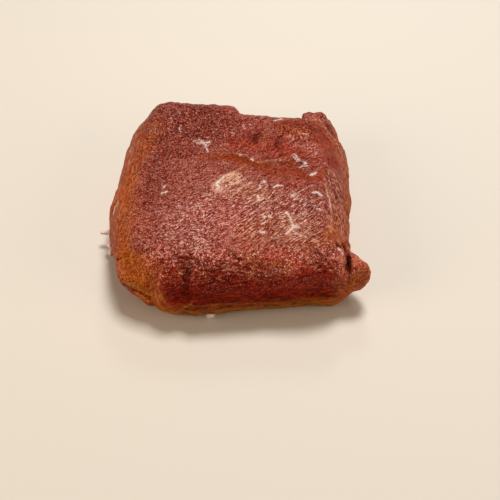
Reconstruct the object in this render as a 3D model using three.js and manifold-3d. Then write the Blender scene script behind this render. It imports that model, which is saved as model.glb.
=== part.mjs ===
// A block of raw ostrich meat: one trimmed piece of muscle, pressed nearly square in its pack.
// Millimetres, +Z up. X runs to the right and Y away from the viewer.
// The origin lies on the flat resting face, under the middle of the block.
import * as THREE from 'three';
import { mergeVertices } from 'three/addons/utils/BufferGeometryUtils.js';
import { ImprovedNoise } from 'three/addons/math/ImprovedNoise.js';
import Module from 'manifold-3d';

const wasm = await Module();
wasm.setup();

// Main sizes of the block
const topHeight = 41; // the flat upper side above the board
const bellyHeight = 15; // where the sides stand out furthest
const footInset = 4.5; // how far the sides draw in again at the board
const shoulderCurve = 1.7; // above 1, the sides stand up first and lean in near the top
const shoulderEnd = 1.3; // the lean stops at this share of the rise from belly to top
const topEdgeRound = 10;
const frontEdgeRound = 18; // the upper edge is rounded more along the front
const frontEdge = [-40, -60]; // y between which one rounding gives way to the other
const footRound = 10;
const footDepth = 3; // the round foot is modelled this far below the board, then cut flat

// Corners of the plan at two heights: x, y and the length of the rounding, going round from the right front
const bellyCorners = [
  [64.5, -55.8, 16],
  [59.5, -30, 12],
  [66, 4, 24],
  [60.8, 63.6, 20],
  [-62.5, 60, 16],
  [-68.2, -19, 22],
  [-58.4, -42.6, 18],
  [-55.4, -56.2, 9],
  [-26, -70.5, 15],
];
const shoulderCorners = [
  [53, -57, 14],
  [50, -5, 30],
  [47, 58, 12],
  [-51, 60, 7],
  [-56, -44, 12],
  [-37, -63, 12],
];

// Unevenness of the meat: wavelength and height of each layer of lumps
const lumps = [
  { wavelength: 34, height: 1.5 },
  { wavelength: 13, height: 0.55 },
];
const lumpPitch = 1.6; // noise units to a wavelength
const lumpShift = [7.3, 2.1, 4.7]; // where in the noise the lumps are read
const pressedFlat = 0.45; // share of the lumps that is left on the pressed upper side

// The muscle end at the back left stands higher and reaches further back, and ends in a step
const rearLobe = { right: -1, front: 16, lift: 2.8, overhang: 5.5, stepWidth: 3, fade: 26 };
const setBack = { from: 20, full: 40, low: 22, high: 36 }; // y and z over which the rest falls back

// The seam between two muscles that crosses the upper side, as points of its line
const seam = {
  line: [[-24, 14], [-8, 13.5], [8, 12.5], [26, 8.5], [44, 3]],
  depth: 1.2,
  reachBack: 4.5,
  reachFront: 9,
};

// Hollows and swellings of the upper side: centre, half sizes, turn in degrees, height
const topRelief = [
  { name: 'tongue of muscle below the seam', at: [-1, -4], half: [11, 9], turn: 28, height: 0.9 },
  { name: 'left dent behind the seam', at: [8.5, 28], half: [3, 7], turn: 6, height: -1.1 },
  { name: 'right dent behind the seam', at: [21.5, 29], half: [3, 7], turn: 6, height: -1.1 },
  { name: 'front left dimple', at: [-27, -57], half: [5, 3], turn: -40, height: -0.9 },
  { name: 'front middle dimple', at: [1, -56], half: [5, 3], turn: -40, height: -0.8 },
  { name: 'front right dimple', at: [39, -53], half: [5, 3], turn: -40, height: -0.9 },
  { name: 'swelling of the middle', at: [0, -28], half: [38, 24], turn: 0, height: 0.8 },
  { name: 'hollow inside the right edge', at: [33, 20], half: [14, 18], turn: 0, height: -0.8 },
];

// Creases that run up the sides: foot of the crease in plan, its half width, depth and height of its ends
const sideCreases = [
  { name: 'left of the front lobe', at: [-38.5, -62], half: 3.2, depth: 2.4, from: -4, to: 33 },
  { name: 'right of the front lobe', at: [-22, -67], half: 3.4, depth: 2.0, from: 5, to: 37 },
  { name: 'on the front face', at: [8, -63], half: 3, depth: 1.1, from: 12, to: 38 },
  { name: 'on the right side', at: [64, -10], half: 4, depth: 1.6, from: 0, to: 30 },
  { name: 'back face, left', at: [-28, 61], half: 4, depth: 2.2, from: -4, to: 34 },
  { name: 'back face, right', at: [22, 61], half: 3.5, depth: 1.8, from: 4, to: 36 },
];

// Ledges where one layer of muscle hangs over another: azimuth range in degrees, height at both ends
const ledges = [
  { name: 'front left corner', from: 204, to: 238, lowAt: 10, highAt: 15, step: 1.7 },
  { name: 'front face', from: 252, to: 318, lowAt: 9, highAt: 11, step: 0.9 },
  { name: 'right side', from: 332, to: 388, lowAt: 12, highAt: 20, step: 1.3 },
  { name: 'back face', from: 40, to: 118, lowAt: 22, highAt: 14, step: 1.6 },
  { name: 'left side', from: 146, to: 196, lowAt: 17, highAt: 9, step: 1.1 },
];
const creaseFade = { below: 4, above: 2, under: 6, over: 3 }; // height over which a crease's ends run out
const ledgeFade = 9; // degrees over which a ledge runs out
const ledgeSharpness = 2.2; // height over which a ledge steps in

// Parts of the muscle that swell out of the block: centre, half sizes, turns in degrees, join
const swellings = [
  { name: 'front right flap', at: [61, -45.5, 19.6], half: [9.2, 7.6, 11.2], turn: [4, 4, -14], join: 4 },
  { name: 'front right nub', at: [55.5, -36, 30], half: [5.5, 5, 4.5], turn: [0, 25, 0], join: 3 },
  { name: 'rear right layer', at: [45, 57, 23], half: [13, 11, 11], turn: [-6, 8, -18], join: 4 },
];

// Scraps of meat and fat on the surface: centre, half sizes, turns in degrees, raggedness
const scraps = [
  {
    name: 'rear right rag, inner',
    at: [40.6, 61.5, 30.5], half: [4.6, 4.2, 3.6], turn: [-20, 4, 0], ragged: 0.2,
  },
  {
    name: 'rear right rag, middle',
    at: [46.8, 62.5, 29.4], half: [5, 4.4, 4.2], turn: [-20, 8, 0], ragged: 0.2,
  },
  {
    name: 'rear right rag, outer',
    at: [50.5, 60.5, 26.9], half: [3.2, 3.6, 3.8], turn: [-20, 20, 0], ragged: 0.2,
  },
  { name: 'left fat scrap', at: [-67.5, -16, 9], half: [5, 1.5, 1.3], turn: [0, -8, 6], ragged: 0.05 },
  { name: 'left fat bead', at: [-65.6, -23.5, 8], half: [3, 2.4, 2.2], turn: [0, 0, 0], ragged: 0.08 },
  { name: 'left fat bead below', at: [-63.9, -28, 7], half: [2.6, 2.6, 2], turn: [0, 0, 20], ragged: 0.08 },
  { name: 'front edge fleck', at: [-9, -64.2, 3.6], half: [2.6, 2, 1.2], turn: [0, 0, 8], ragged: 0.1 },
];

// The open slit between the block and the front right flap, and the nick above it
const slits = [
  { name: 'slit', at: [58.2, -49.8, 32], half: [1.5, 7, 10], turn: [0, 0, 2] },
  { name: 'nick', at: [57, -41.5, 34], half: [3.2, 1.3, 6], turn: [0, 20, -28] },
];

// Divisions of the block's surface along X, Y and Z
const divisions = [40, 38, 12];
const rayHeight = 17; // the surface is found along lines that fan out from this height
const fan = [46, 44]; // half sizes of the plan from which they start
const fanSpread = [20, 20, 26];
const searchLength = 90;
const searchSteps = 34;

// Fineness of the plan outlines and of the balls
const outlineSteps = 720; // directions in which an outline's radius is stored
const cornerPoints = 24;
const pointsPerMm = 8;
const largeBall = { from: 6, divisions: [26, 18] }; // half size in mm from which a ball is made finer
const smallBall = { divisions: [14, 10] };
const ragPitch = 2.3; // waves of raggedness over a ball
const beneath = { side: 300, depth: 40 }; // the box that cuts the foot flat

const noise = new ImprovedNoise();
const toRadians = THREE.MathUtils.degToRad;
const { smoothstep, lerp } = THREE.MathUtils;

// The larger of two distances, with their meeting edge rounded
function roundMax(a, b, round) {
  const inside = Math.max(round - Math.abs(a - b), 0);
  return Math.max(a, b) + (inside * inside) / (4 * round);
}

// The smaller of two distances, with their inner corner filled
function roundMin(a, b, round) {
  return -roundMax(-a, -b, round);
}

// A bump of height 1 that falls smoothly to 0 at distance 1
function bump(distance) {
  return distance >= 1 ? 0 : (1 - distance * distance) ** 2;
}

// The plan's radius by azimuth, read from a shape with rounded corners
function outlineRadius(corners) {
  const shape = new THREE.Shape();
  corners.forEach(([x, y, round], i) => {
    const corner = new THREE.Vector2(x, y);
    const next = new THREE.Vector2(...corners[(i + 1) % corners.length]);
    const before = new THREE.Vector2(...corners[(i + corners.length - 1) % corners.length]);
    const enter = corner.clone().add(before.sub(corner).setLength(round));
    const leave = corner.clone().add(next.sub(corner).setLength(round));
    if (i === 0) shape.moveTo(enter.x, enter.y);
    else shape.lineTo(enter.x, enter.y);
    shape.quadraticCurveTo(x, y, leave.x, leave.y);
  });
  shape.closePath();
  const radii = new Array(outlineSteps).fill(0);
  const points = shape.getPoints(cornerPoints);
  points.forEach((start, i) => {
    const end = points[(i + 1) % points.length];
    const parts = Math.max(1, Math.ceil(start.distanceTo(end) * pointsPerMm));
    for (let k = 0; k < parts; k++) {
      const point = start.clone().lerp(end, k / parts);
      const turn = (Math.atan2(point.y, point.x) / (2 * Math.PI) + 1) % 1;
      radii[Math.floor(turn * outlineSteps)] = point.length();
    }
  });
  return (azimuth) => {
    const place = ((azimuth / 360 + 2) % 1) * outlineSteps;
    const low = Math.floor(place) % outlineSteps;
    return lerp(radii[low], radii[(low + 1) % outlineSteps], place - Math.floor(place));
  };
}

const bellyRadius = outlineRadius(bellyCorners);
const shoulderRadius = outlineRadius(shoulderCorners);

// How far the block reaches in a direction, at a height
function reach(azimuth, z) {
  const belly = bellyRadius(azimuth);
  if (z < bellyHeight) {
    const down = (bellyHeight - z) / bellyHeight;
    return belly - footInset * down * down;
  }
  const up = (z - bellyHeight) / (topHeight - bellyHeight);
  return belly - (belly - shoulderRadius(azimuth)) * Math.min(up, shoulderEnd) ** shoulderCurve;
}

function lumpiness(x, y, z) {
  return lumps.reduce((sum, { wavelength, height }, i) => {
    const scale = lumpPitch / wavelength;
    const [byLayer, alongY, alongZ] = lumpShift;
    return sum + height * noise.noise(x * scale + byLayer * i, y * scale + alongY, z * scale + alongZ);
  }, 0);
}

// Signed distance to the seam's line in plan: positive behind it
function beyondSeam(x, y) {
  let nearest = Infinity;
  let side = 0;
  for (let i = 0; i + 1 < seam.line.length; i++) {
    const [ax, ay] = seam.line[i];
    const [bx, by] = seam.line[i + 1];
    const along = ((x - ax) * (bx - ax) + (y - ay) * (by - ay)) / ((bx - ax) ** 2 + (by - ay) ** 2);
    const share = THREE.MathUtils.clamp(along, 0, 1);
    const distance = Math.hypot(x - lerp(ax, bx, share), y - lerp(ay, by, share));
    if (distance < nearest) {
      nearest = distance;
      side = Math.sign((bx - ax) * (y - ay) - (by - ay) * (x - ax));
    }
  }
  return nearest * side;
}

// The raised muscle end at the back left, from 0 to 1
function rearLobeShare(x, y) {
  const across = 1 - smoothstep(x, rearLobe.right - rearLobe.stepWidth, rearLobe.right);
  const along = smoothstep(y, rearLobe.front, rearLobe.front + rearLobe.fade);
  return across * along;
}

// Height of the upper side
function upperSide(x, y) {
  const distance = beyondSeam(x, y);
  const seamWidth = distance > 0 ? seam.reachBack : seam.reachFront;
  let height = topHeight + rearLobe.lift * rearLobeShare(x, y);
  height -= seam.depth * bump(Math.abs(distance) / seamWidth);
  for (const { at, half, turn, height: rise } of topRelief) {
    const angle = toRadians(turn);
    const dx = x - at[0];
    const dy = y - at[1];
    const across = (dx * Math.cos(angle) + dy * Math.sin(angle)) / half[0];
    const along = (-dx * Math.sin(angle) + dy * Math.cos(angle)) / half[1];
    height += rise * bump(Math.hypot(across, along));
  }
  return height;
}

// How far creases and ledges draw the side in
function sideInset(x, y, z, azimuth) {
  let inset = 0;
  for (const { at, half, depth, from, to } of sideCreases) {
    const crossing = (x * at[1] - y * at[0]) / Math.hypot(...at);
    const onThisSide = x * at[0] + y * at[1] > 0;
    if (!onThisSide) continue;
    const foot = smoothstep(z, from - creaseFade.below, from + creaseFade.above);
    const head = 1 - smoothstep(z, to - creaseFade.under, to + creaseFade.over);
    inset += depth * bump(Math.abs(crossing) / half) * foot * head;
  }
  for (const { from, to, lowAt, highAt, step } of ledges) {
    const turn = (azimuth - from + 720) % 360;
    const span = to - from;
    if (turn > span) continue;
    const ends = smoothstep(turn, 0, ledgeFade) * (1 - smoothstep(turn, span - ledgeFade, span));
    const lip = lerp(lowAt, highAt, turn / span);
    inset += step * ends * (1 - smoothstep(z, lip - ledgeSharpness, lip));
  }
  return inset;
}

// Frame of a ball that is drawn out to its half sizes, turned and set in place
function ballFrame({ at, half, turn }) {
  return new THREE.Matrix4().compose(
    new THREE.Vector3(...at),
    new THREE.Quaternion().setFromEuler(new THREE.Euler(...turn.map(toRadians))),
    new THREE.Vector3(...half),
  );
}

const swellingFrames = swellings.map((swelling) => ({
  toBall: ballFrame(swelling).invert(),
  depth: Math.min(...swelling.half),
  join: swelling.join,
}));

// Below 0 inside the meat, above 0 outside it
function meatDistance(x, y, z) {
  const azimuth = THREE.MathUtils.radToDeg(Math.atan2(y, x));
  const radius = Math.hypot(x, y);
  const besideLobe = 1 - rearLobeShare(x, Infinity);
  const shortfall = smoothstep(y, setBack.from, setBack.full) * smoothstep(z, setBack.low, setBack.high);
  const shortOfLobe = rearLobe.overhang * besideLobe * shortfall;
  const side = radius - reach(azimuth, z) + sideInset(x, y, z, azimuth) + shortOfLobe;
  const top = z - upperSide(x, y);
  const foot = -footDepth - z;
  const edgeRound = lerp(topEdgeRound, frontEdgeRound, smoothstep(-y, -frontEdge[0], -frontEdge[1]));
  let body = roundMax(side, top, edgeRound);
  for (const { toBall, depth, join } of swellingFrames) {
    const inBall = new THREE.Vector3(x, y, z).applyMatrix4(toBall);
    body = roundMin(body, (inBall.length() - 1) * depth, join);
  }
  const onTop = smoothstep(top - side, -topEdgeRound, topEdgeRound);
  const uneven = lumpiness(x, y, z) * lerp(1, pressedFlat, onTop);
  return roundMax(body, foot, footRound) - uneven;
}

// The point of the surface on the line that starts inside at the fan's place for u, v, w
function surfacePoint(u, v, w) {
  const start = new THREE.Vector3(u * fan[0], v * fan[1], rayHeight);
  const way = new THREE.Vector3(u * fanSpread[0], v * fanSpread[1], w * fanSpread[2]).normalize();
  let inside = 0;
  let outside = searchLength;
  for (let i = 0; i < searchSteps; i++) {
    const middle = (inside + outside) / 2;
    const point = start.clone().addScaledVector(way, middle);
    if (meatDistance(point.x, point.y, point.z) < 0) inside = middle;
    else outside = middle;
  }
  return start.addScaledVector(way, (inside + outside) / 2);
}

function toSolid(geometry) {
  const bare = geometry.clone();
  bare.deleteAttribute('normal');
  bare.deleteAttribute('uv');
  const merged = mergeVertices(bare, 1e-4);
  return new wasm.Manifold(
    new wasm.Mesh({
      numProp: 3,
      vertProperties: new Float32Array(merged.attributes.position.array),
      triVerts: new Uint32Array(merged.index.array),
    }),
  );
}

function blockSolid() {
  const geometry = new THREE.BoxGeometry(2, 2, 2, ...divisions);
  const position = geometry.attributes.position;
  for (let i = 0; i < position.count; i++) {
    const point = surfacePoint(position.getX(i), position.getY(i), position.getZ(i));
    position.setXYZ(i, point.x, point.y, point.z);
  }
  return toSolid(geometry);
}

function scrapSolid(scrap) {
  const { at, half, ragged = 0 } = scrap;
  const { divisions: round } = Math.max(...half) > largeBall.from ? largeBall : smallBall;
  const geometry = new THREE.SphereGeometry(1, ...round);
  const position = geometry.attributes.position;
  const point = new THREE.Vector3();
  for (let i = 0; i < position.count; i++) {
    point.fromBufferAttribute(position, i);
    const seed = point.clone().multiplyScalar(ragPitch);
    const grain = noise.noise(seed.x + at[0], seed.y + at[1], seed.z);
    point.multiplyScalar(1 + 2 * ragged * grain);
    position.setXYZ(i, point.x, point.y, point.z);
  }
  geometry.applyMatrix4(ballFrame(scrap));
  return toSolid(geometry);
}

function meatGeometry() {
  let meat = blockSolid();
  for (const scrap of scraps) meat = meat.add(scrapSolid(scrap));
  for (const slit of slits) meat = meat.subtract(scrapSolid(slit));
  const below = new THREE.BoxGeometry(beneath.side, beneath.side, beneath.depth);
  below.translate(0, 0, -beneath.depth / 2);
  meat = meat.subtract(toSolid(below));
  const { vertProperties, triVerts } = meat.getMesh();
  const geometry = new THREE.BufferGeometry();
  geometry.setAttribute('position', new THREE.BufferAttribute(vertProperties, 3));
  geometry.setIndex(new THREE.BufferAttribute(triVerts, 1));
  geometry.computeBoundingBox();
  const middle = geometry.boundingBox.getCenter(new THREE.Vector3());
  geometry.translate(-middle.x, -middle.y, 0);
  geometry.computeVertexNormals();
  return geometry;
}

const rawMeat = new THREE.MeshStandardMaterial({
  color: 0x7a2a22,
  roughness: 0.48,
  metalness: 0,
});

const block = new THREE.Mesh(meatGeometry(), rawMeat);
block.name = 'meat_block';

const part = new THREE.Group();
part.add(block);

export default part;
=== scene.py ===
import math

import bpy
import numpy as np
from mathutils import Matrix, Vector
from mathutils.bvhtree import BVHTree


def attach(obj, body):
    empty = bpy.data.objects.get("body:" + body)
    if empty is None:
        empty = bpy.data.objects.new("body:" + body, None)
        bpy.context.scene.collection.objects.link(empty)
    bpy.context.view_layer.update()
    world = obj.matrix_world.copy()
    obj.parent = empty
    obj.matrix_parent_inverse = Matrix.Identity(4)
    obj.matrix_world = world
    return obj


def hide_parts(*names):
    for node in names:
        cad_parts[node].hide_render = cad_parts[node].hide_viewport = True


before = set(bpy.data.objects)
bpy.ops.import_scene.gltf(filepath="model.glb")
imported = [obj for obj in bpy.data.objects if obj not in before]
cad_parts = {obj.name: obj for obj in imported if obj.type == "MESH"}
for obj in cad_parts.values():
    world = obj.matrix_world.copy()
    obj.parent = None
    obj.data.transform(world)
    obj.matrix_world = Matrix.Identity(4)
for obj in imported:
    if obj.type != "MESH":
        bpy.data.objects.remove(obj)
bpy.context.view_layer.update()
mm = 0.001
print("frame loaded")

# the camera stands where the photograph was taken from
viewSettings = {
    "place": (0.010437, -0.288649, 0.3103),
    "pitchDown": 48.72,
    "roll": 2.44,
    "lens": 54.0,
    "sensor": 36.0,
    "imageSide": 500,
    "reach": 0.36,  # metres to the meat along a line of sight that passes beside it
}


def viewAxes(settings):
    pitch = math.radians(settings["pitchDown"])
    roll = math.radians(settings["roll"])
    ahead = Vector((0, math.cos(pitch), -math.sin(pitch)))
    level = Vector((1, 0, 0))
    steep = level.cross(ahead)
    right = math.cos(roll) * level + math.sin(roll) * steep
    up = -math.sin(roll) * level + math.cos(roll) * steep
    return right, up, ahead


def addCamera(settings):
    right, up, ahead = viewAxes(settings)
    cameraData = bpy.data.cameras.new("photoCamera")
    cameraData.lens = settings["lens"]
    cameraData.sensor_width = settings["sensor"]
    cameraData.clip_start = 0.01
    camera = bpy.data.objects.new("photoCamera", cameraData)
    bpy.context.collection.objects.link(camera)
    turn = Matrix((right, up, -ahead)).transposed().to_4x4()
    camera.matrix_world = Matrix.Translation(settings["place"]) @ turn
    bpy.context.scene.camera = camera


addCamera(viewSettings)
print("camera set")

# the block: a fine skin laid over the CAD solid
meatShape = {
    "node": "meat_block",
    "voxel": 0.75 * mm,
    "smoothRounds": 5,
    "footStart": 0.3,  # mm above the resting face where relief begins
    "footFull": 1.5,  # and where it has its full height
    "strokeReach": 1.6,  # half widths at which a furrow or ridge has faded out
    "roughCore": 0.4,  # share of a rough area's half width that has the full height
    "lumps": [
        {"name": "broadLumps", "size": 15, "height": 0.9},
        {"name": "smallLumps", "size": 5, "height": 0.5},
        {"name": "pebbles", "size": 2.2, "height": 0.28},
    ],
}


def selectOnly(piece):
    bpy.ops.object.select_all(action="DESELECT")
    piece.select_set(True)
    bpy.context.view_layer.objects.active = piece


def meshPoints(piece):
    flat = np.empty(len(piece.data.vertices) * 3)
    piece.data.vertices.foreach_get("co", flat)
    return flat.reshape(-1, 3) / mm


def meshNormals(piece):
    flat = np.empty(len(piece.data.vertices) * 3)
    piece.data.vertices.foreach_get("normal", flat)
    return flat.reshape(-1, 3)


def smoothStep(value, low, high):
    share = np.clip((value - low) / (high - low), 0, 1)
    return share * share * (3 - 2 * share)


def skinOverSolid(shape):
    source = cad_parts[shape["node"]]
    skin = bpy.data.objects.new("meatBlock", source.data.copy())
    bpy.context.collection.objects.link(skin)
    skin.data.materials.clear()
    selectOnly(skin)
    bpy.ops.object.mode_set(mode="EDIT")
    bpy.ops.mesh.select_all(action="SELECT")
    bpy.ops.mesh.remove_doubles(threshold=0.01 * mm)
    bpy.ops.object.mode_set(mode="OBJECT")
    skin.data.remesh_voxel_size = shape["voxel"]
    bpy.ops.object.voxel_remesh()
    smoothing = skin.modifiers.new("softenFacets", "SMOOTH")
    smoothing.factor = 0.5
    smoothing.iterations = shape["smoothRounds"]
    bpy.ops.object.modifier_apply(modifier=smoothing.name)
    return skin


def paintGroup(piece, name, weights):
    # a vertex group in twenty even steps of weight
    group = piece.vertex_groups.new(name=name)
    steps = np.round(np.clip(weights, 0, 1) * 20).astype(int)
    for step in range(1, 21):
        chosen = np.flatnonzero(steps == step)
        if len(chosen):
            group.add(chosen.tolist(), step / 20, "REPLACE")
    return group.name


def raiseGroup(piece, groupName, height):
    # moves a painted area out by height mm, or in where it is below zero
    selectOnly(piece)
    lift = piece.modifiers.new("lift" + groupName, "DISPLACE")
    lift.vertex_group = groupName
    lift.mid_level = 0
    lift.strength = height * mm
    bpy.ops.object.modifier_apply(modifier=lift.name)


def roughenGroup(piece, groupName, name, size, height):
    # uneven lumps of a size in mm over a painted area
    selectOnly(piece)
    cloud = bpy.data.textures.new(name, "CLOUDS")
    cloud.noise_scale = size * mm
    cloud.noise_depth = 2
    rough = piece.modifiers.new(name, "DISPLACE")
    rough.texture = cloud
    rough.texture_coords = "LOCAL"
    rough.vertex_group = groupName
    rough.mid_level = 0.5
    rough.strength = height * 2 * mm
    bpy.ops.object.modifier_apply(modifier=rough.name)


meat = skinOverSolid(meatShape)
print("skin laid over the solid:", len(meat.data.vertices), "points")


def surfaceTree(piece):
    points = [v.co.copy() for v in piece.data.vertices]
    faces = [tuple(p.vertices) for p in piece.data.polygons]
    return BVHTree.FromPolygons(points, faces)


def spotOnMeat(pixel, settings=viewSettings):
    # where a pixel of the photograph falls on the meat, in mm
    right, up, ahead = viewAxes(settings)
    middle = settings["imageSide"] / 2
    focal = settings["lens"] / settings["sensor"] * settings["imageSide"]
    place = Vector(settings["place"])
    across = (pixel[0] - middle) / focal
    above = (middle - pixel[1]) / focal
    way = (right * across + up * above + ahead).normalized()
    hit = meatTree.ray_cast(place, way)[0]
    if hit is None:
        hit = meatTree.find_nearest(place + way * settings["reach"])[0]
    return np.array(hit) / mm


def spotsOnMeat(spots):
    # a spot of three numbers is a place in mm already
    return [np.array(spot) if len(spot) == 3 else spotOnMeat(spot) for spot in spots]


def distanceToLine(points, line):
    nearest = np.full(len(points), 1e9)
    if len(line) == 1:
        return np.linalg.norm(points - line[0], axis=1)
    for start, end in zip(line, line[1:]):
        along = end - start
        length = max(along @ along, 1e-9)
        share = np.clip((points - start) @ along / length, 0, 1)
        foot = start + share[:, None] * along
        nearest = np.minimum(nearest, np.linalg.norm(points - foot, axis=1))
    return nearest


meatTree = surfaceTree(meat)


def aboveFoot(points):
    return smoothStep(points[:, 2], meatShape["footStart"], meatShape["footFull"])


# lumps over the whole block
points = meshPoints(meat)
wholeGroup = paintGroup(meat, "whole", aboveFoot(points))
for lump in meatShape["lumps"]:
    roughenGroup(meat, wholeGroup, lump["name"], lump["size"], lump["height"])
print("lumps made")

# furrows and ridges: half width and height in mm, then a line over the photograph's pixels
relief = {
    "ridge behind the seam": (
        1.2, 0.25, (226, 152), (236, 151.5), (245, 154.5), (254, 159), (264, 161), (278, 160.5),
        (296, 163)),
    "furrow in front of the ridge": (
        2.6, -0.2, (222, 158), (240, 159), (256, 163), (276, 165), (296, 168), (312, 173)),
    "lip of the pale plate": (
        1.1, 0.5, (218, 187), (217.5, 183), (223, 178.7), (231, 173.8), (239, 170.2),
        (248, 166.6)),
    "edge fold on the right": (
        1.1, 0.55, (326, 181), (327, 191.6), (330, 200.5), (331.4, 208.6), (331.9, 219),
        (331.4, 231)),
    "fold at the back right": (
        1.2, 0.8, (310, 118.5), (318, 119.5), (322, 124), (329, 134), (335, 140), (339.5, 150),
        (343, 161)),
    "hollow outside the fold": (1.6, -0.9, (322, 119), (326, 124), (332, 133), (338, 141)),
    "crease of the front lobe": (
        3.2, -1.1, (187, 262), (185.5, 268), (184, 279), (183, 292), (181.5, 302)),
    "crease at the front left corner": (
        2, -0.9, (157, 270), (155.5, 284), (154.5, 298), (160, 309)),
    "layer edge at the front left": (
        1.1, 1.3, (123, 281), (127, 282.6), (135, 286), (143, 289.6), (150, 293.6), (154, 296.6)),
    "groove under that layer": (1.4, -1.2, (124, 285.5), (134, 290), (143, 294), (151, 298)),
    "notch on the left": (1.2, -1.3, (113, 261), (117, 260), (122, 258)),
    "lip under the notch": (1.2, 0.7, (114, 264), (118, 262.5), (123, 260.5)),
    "slanting fold at the front": (0.9, -0.35, (170, 250), (174, 254), (181, 259)),
    "second slanting fold": (0.9, -0.6, (229, 249), (233, 254), (240, 262)),
    "third slanting fold": (0.9, -0.6, (313, 249), (319, 254), (326, 262)),
    "pale cord on the front edge": (0.8, 0.4, (257, 265), (252.5, 272), (248.5, 280)),
    "layer line near the foot": (
        0.9, -0.45, (188, 305), (215, 304.5), (247, 302.5), (290, 300.5), (325, 298)),
    "dark gap left of the nub": (1.1, -1.2, (336, 243), (339, 247), (344, 251)),
    "ridge down the flap": (1.2, 0.7, (356.5, 272), (354.5, 279), (351.5, 289)),
    "dark dent behind the seam": (3.2, -0.9, (257, 135), (255, 143), (253, 150)),
    "second dent behind the seam": (3.2, -0.9, (279.5, 136), (278, 144), (276, 150)),
    "hollow at the top left": (5, -0.8, (156, 172), (152, 190), (150, 206)),
}

for number, (half, height, *pixels) in enumerate(relief.values()):
    points = meshPoints(meat)
    share = distanceToLine(points, spotsOnMeat(pixels)) / half / meatShape["strokeReach"]
    weights = np.clip(1 - share**2, 0, 1) ** 2 * aboveFoot(points)
    raiseGroup(meat, paintGroup(meat, f"stroke{number}", weights), height)
print("furrows and ridges made:", len(relief))

# rough, pebbly meat along the front edge and over the muscle end at the back left
roughAreas = {
    "front edge": {
        "line": [(165, 260), (200, 262), (240, 264), (280, 264), (325, 260)],
        "half": 11,
        "size": 1.4,
        "height": 0.5,
    },
    "back left": {
        "line": [(175, 125), (200, 120), (222, 125), (200, 140)],
        "half": 14,
        "size": 2.4,
        "height": 0.35,
    },
}

for name, area in roughAreas.items():
    points = meshPoints(meat)
    distance = distanceToLine(points, spotsOnMeat(area["line"]))
    weights = 1 - smoothStep(distance, area["half"] * meatShape["roughCore"], area["half"])
    groupName = paintGroup(meat, name, weights * aboveFoot(points))
    roughenGroup(meat, groupName, name + " pebbles", area["size"], area["height"])
meat.vertex_groups.clear()


def flattenFoot(piece):
    # the resting face becomes one flat face again
    points = meshPoints(piece)
    points[:, 2] = np.maximum(points[:, 2], 0)
    piece.data.vertices.foreach_set("co", (points * mm).ravel())
    piece.data.update()
    selectOnly(piece)
    bpy.ops.object.mode_set(mode="EDIT")
    bpy.ops.mesh.select_mode(type="FACE")
    bpy.ops.mesh.select_all(action="DESELECT")
    bpy.ops.object.mode_set(mode="OBJECT")
    for face in piece.data.polygons:
        face.select = face.normal.z < -0.999 and face.center.z < 0.02 * mm
    bpy.ops.object.mode_set(mode="EDIT")
    bpy.ops.mesh.dissolve_limited(angle_limit=math.radians(0.5))
    bpy.ops.mesh.select_all(action="DESELECT")
    bpy.ops.object.mode_set(mode="OBJECT")


flattenFoot(meat)
selectOnly(meat)
bpy.ops.object.shade_smooth()
print("relief done:", len(meat.data.polygons), "faces")

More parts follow.
